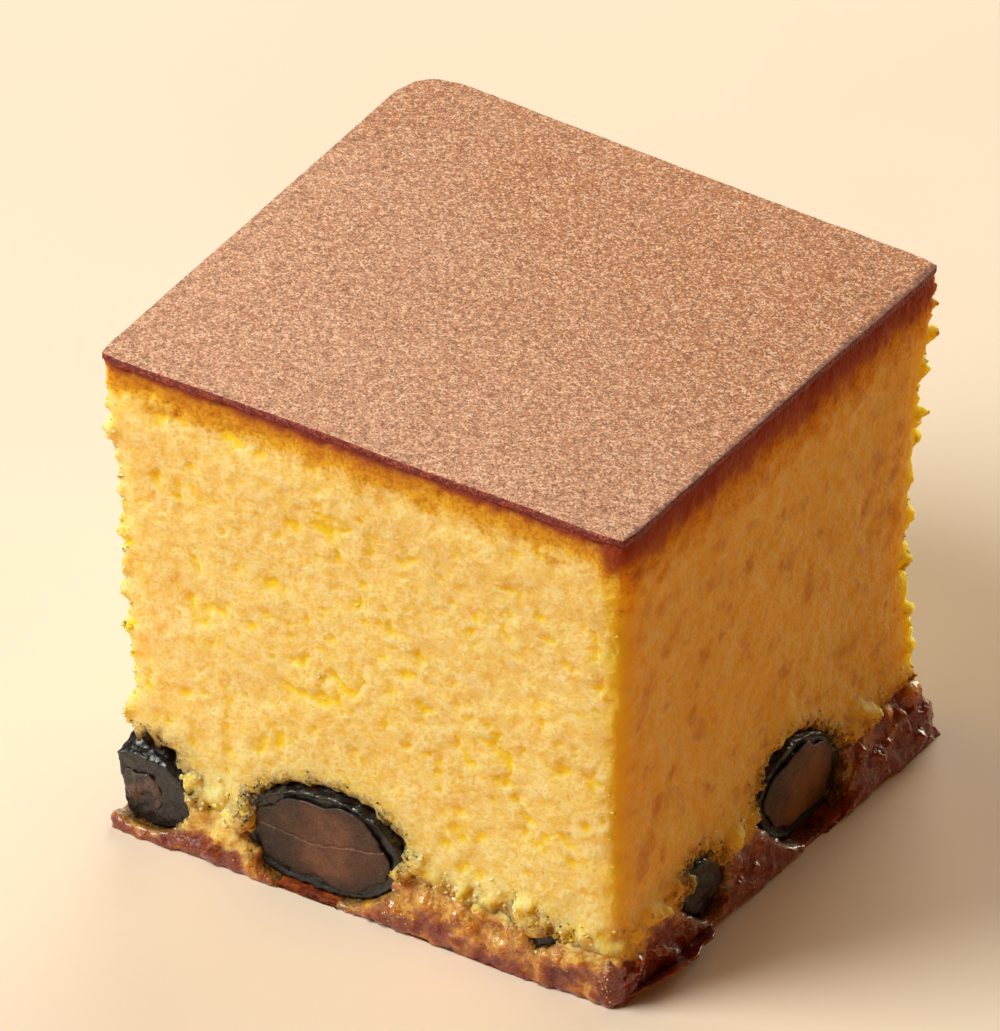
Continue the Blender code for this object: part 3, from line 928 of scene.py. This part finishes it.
def beanBody(node, name, shape, height):
    body = copyOfNode(node, name)
    foot = min(vert.co.z for vert in body.data.vertices)
    for vert in body.data.vertices:
        vert.co.z = foot + (vert.co.z - foot) * height
    applyModifier(body, "REMESH", mode="VOXEL", voxel_size=shape["voxel"], use_smooth_shade=True)
    applyModifier(body, "SMOOTH", factor=0.5, iterations=3)
    return body


def facing(normal, sides):  # 1 on a cut face, 0 on the bean's round sides
    return max([min(max((normal.dot(Vector(side)) - 0.6) / 0.3, 0.0), 1.0) for side in sides], default=0.0)


def makeSkin(node, sides, shape, height, rough):  # the whole bean in its black skin, cut faces set back
    skin = beanBody(node, node.replace("bean_", "bean_skin_"), shape, height)
    for vert, normal in pointsAndNormals(skin):
        cut = facing(normal, sides)
        fold = noise.noise(vert.co / shape["wrinkle"]) + 0.5 * noise.noise(vert.co / (0.4 * shape["wrinkle"]))
        wrinkle = shape["wrinkleHeight"] * fold * (1 - 0.6 * cut / rough)
        vert.co += normal * (wrinkle - shape["skinBack"] * cut / rough)
    finishPiece(skin, finish["beanSkin"], "bean", node)


def makeFlesh(node, sides, shape, height, rough):  # it comes through the skin at the cut faces
    flesh = beanBody(node, node.replace("bean_", "bean_flesh_"), shape, height)
    for vert, normal in pointsAndNormals(flesh):
        cut = facing(normal, sides)
        uneven = noise.noise(vert.co / (2.4 * mm)) + 0.4 * noise.noise(vert.co / (0.8 * mm))
        inset = max(shape["inset"] + shape["insetVaries"] * uneven, shape["leastInset"])
        relief = shape["flushOut"] + shape["fleshRelief"] * uneven * rough
        vert.co += normal * (relief * cut - inset * (1 - cut))
    middle, half = middleAndHalf(flesh)
    for vert in flesh.data.vertices:  # the skin shows as an uneven rim round it
        rim = shape["rim"] * (1 + noise.noise(vert.co / shape["rimSize"]))
        for axis in range(3):
            if abs(sides[0][axis]) < 0.5:
                vert.co[axis] = middle[axis] + (vert.co[axis] - middle[axis]) * (1 - rim / half[axis])
    applyModifier(flesh, "SMOOTH", factor=0.5, iterations=3)
    if len(sides) > 1:  # more of the wet skin shows there, above and to the right of the flesh
        middle, half = middleAndHalf(flesh)
        anchor = Vector((middle.x - half.x, middle.y, middle.z - 0.3 * half.z))
        for vert in flesh.data.vertices:
            offset = vert.co - anchor
            vert.co = anchor + Vector(part * squeeze for part, squeeze in zip(offset, shape["cornerSqueeze"]))
    markBeanPlace(flesh, abs(sides[0][0]) > 0.5, 1.0 if node in splitBeans else 0.0)
    finishPiece(flesh, finish[beanFlesh.get(node, "flesh")], "bean")


def makeBean(node, sides, shape):  # the one at the corner, cut twice, is lower and rougher
    height, rough = (shape["cornerHeight"], shape["cornerRough"]) if len(sides) > 1 else (1.0, 1.0)
    makeSkin(node, sides, shape, height, rough)
    if sides:
        makeFlesh(node, sides, shape, height, rough)


crumbPiece = makeCrumb(crumbShape)
basePiece = makeBase(baseShape)
makeCrust(crustShape)
makeUnderside(underShape)
makeFlap(flapShape)
for beanNode, beanCuts in beanSides.items():
    makeBean(beanNode, beanCuts, beanShape)
print("beans made:", len(beanSides))


looseCrumbs = {"sizes": (0.20 * mm, 0.55 * mm), "seed": 3, "edges": 2.6e6, "foot": 0.9e6}


def crumbDensity(tree, place, normal, spec):  # along the cut edges and the foot, but not up to the crust
    height = splitAxes(tree, place)[2]
    edges = cutEdges(tree, place, normal, 0.32, 0.46)
    foot = smoothRange(tree, height, 6.5 * mm, 10 * mm, 1.0, 0.0)
    clumpy = smoothRange(tree, noiseField(tree, place, 3 * mm), 0.35, 0.65, 0.3, 1.4)
    belowTop = smoothRange(tree, height, cakeTop - 2.5 * mm, cakeTop - 1 * mm, 1.0, 0.0)
    amount = plus(tree, times(tree, edges, spec["edges"]), times(tree, foot, spec["foot"]))
    return times(tree, amount, upright(tree, normal, 0.5, 0.7), clumpy, belowTop), 1.0


darkFlecks = {"sizes": (0.12 * mm, 0.30 * mm), "seed": 11, "amount": 3.0e6}


def fleckDensity(tree, place, normal, spec):  # bits of skin smeared into the crumb beside the beans
    near = addNode(tree, "GeometryNodeInputNamedAttribute", {"Name": "beanNear"}).outputs[0]
    clumpy = smoothRange(tree, noiseField(tree, place, 1.8 * mm), 0.38, 0.62, 0.15, 1.0)
    sides = upright(tree, normal, 0.6, 0.8)
    return times(tree, smoothRange(tree, near, 0.10, 0.75), sides, clumpy, spec["amount"]), 1.0


glossBeads = {"sizes": (0.10 * mm, 0.30 * mm), "seed": 17, "amount": 3.0e6}


def beadDensity(tree, place, normal, spec):  # syrup that glints on the sides of the soaked layer
    clumpy = smoothRange(tree, noiseField(tree, place, 4 * mm), 0.42, 0.62)
    upper = smoothRange(tree, splitAxes(tree, place)[2], 0.5 * mm, 1.5 * mm)
    return times(tree, upright(tree, normal, 0.5, 0.8), clumpy, upper, spec["amount"]), 1.0


crumbGrain = makeGrain("crumbGrain", 1.6)
roundGrain = makeGrain("roundGrain", 0.1)
crumbs = scatterPiece("crumbGrains", crumbPiece, crumbGrain, crumbDensity, looseCrumbs)
finishPiece(crumbs, finish["looseCrumb"], "sponge")
flecks = scatterPiece("beanFlecks", crumbPiece, crumbGrain, fleckDensity, darkFlecks)
finishPiece(flecks, finish["flecks"], "bean")
beads = scatterPiece("syrupBeads", basePiece, roundGrain, beadDensity, glossBeads)
finishPiece(beads, finish["syrup"], "soaked_base")
bpy.data.objects.remove(crumbGrain)
bpy.data.objects.remove(roundGrain)


# studio: a plain pale floor, soft light from the left and above, a long lens

floorLook = {"low": tone(238, 218, 196), "high": tone(242, 223, 202), "bounce": tone(222, 148, 80),
             "drift": 60 * mm}


def makeFloor(look):
    bpy.ops.object.select_all(action="DESELECT")
    bpy.ops.mesh.primitive_plane_add(size=6)
    floor = bpy.context.active_object
    floor.name = "floor"
    material, tree, shader, place = startMaterial("floor", Roughness=0.7)
    drift = noiseField(tree, place, look["drift"])
    pale = toneRamp(tree, drift, [(0.3, look["low"]), (0.7, look["high"])])
    bounce = addNode(tree, "ShaderNodeLightPath").outputs["Is Diffuse Ray"]  # it throws warm light back up
    feed(tree, shader, Base_Color=mixTone(tree, bounce, pale, look["bounce"]))
    floor.data.materials.append(material)


view = {"distance": 0.9, "azimuth": 32.60, "elevation": 34.21, "roll": 0.24, "lens": 337.5,
        "aimRight": -2.32 * mm, "aimUp": 2.35 * mm, "aimHeight": 26.5 * mm}


def makeCamera(spec):
    turn, lift = math.radians(spec["azimuth"]), math.radians(spec["elevation"])
    back = Vector((math.sin(turn) * math.cos(lift), -math.cos(turn) * math.cos(lift), math.sin(lift)))
    right = Vector((math.cos(turn), math.sin(turn), 0))
    up = back.cross(right)
    aim = Vector((0, 0, spec["aimHeight"])) + right * spec["aimRight"] + up * spec["aimUp"]
    camera = bpy.data.objects.new("camera", bpy.data.cameras.new("camera"))
    bpy.context.scene.collection.objects.link(camera)
    camera.data.lens = spec["lens"]
    camera.data.sensor_width = 36
    camera.data.clip_start = 0.01
    camera.location = aim + back * spec["distance"]
    camera.rotation_mode = "QUATERNION"
    roll = Quaternion((0, 0, 1), math.radians(spec["roll"]))
    camera.rotation_quaternion = (-back).to_track_quat("-Z", "Y") @ roll
    bpy.context.scene.camera = camera


lights = {  # the way each comes from, its distance and size in metres, its power in watts and its colour
    "key": ((-0.50, -0.50, 0.75), 0.6, 0.30, 3.9, (0.96, 0.97, 0.91)),
    "front fill": ((-0.45, -0.85, 0.30), 0.7, 0.35, 0.7, (0.96, 0.97, 0.90)),
    "back sheen": ((-0.35, 0.80, 0.50), 0.7, 0.40, 1.8, (0.98, 0.96, 0.86)),
    "back glow": ((0.05, 0.95, 0.22), 0.7, 0.35, 2.6, (1.0, 0.95, 0.75)),
    "warm bounce": ((0.85, -0.35, 0.15), 0.6, 0.40, 0.6, (1.0, 0.40, 0.055)),
}
surroundings = {"color": (1.0, 0.62, 0.34, 1.0), "strength": 0.035}


def makeLight(name, direction, distance, size, watts, color):
    lamp = bpy.data.lights.new(name, "AREA")
    lamp.shape = "DISK"
    lamp.size = size
    lamp.energy = watts
    lamp.color = color
    light = bpy.data.objects.new(name, lamp)
    bpy.context.scene.collection.objects.link(light)
    way = Vector(direction).normalized()
    light.location = Vector((0, 0, 25 * mm)) + way * distance
    light.rotation_mode = "QUATERNION"
    light.rotation_quaternion = way.to_track_quat("Z", "Y")


makeFloor(floorLook)
makeCamera(view)
for lightName, values in lights.items():
    makeLight(lightName, *values)
world = bpy.data.worlds.new("world")
bpy.context.scene.world = world
world.use_nodes = True
background = world.node_tree.nodes["Background"]
background.inputs["Color"].default_value = surroundings["color"]
background.inputs["Strength"].default_value = surroundings["strength"]
bpy.context.scene.view_settings.view_transform = "Standard"
print("studio ready")
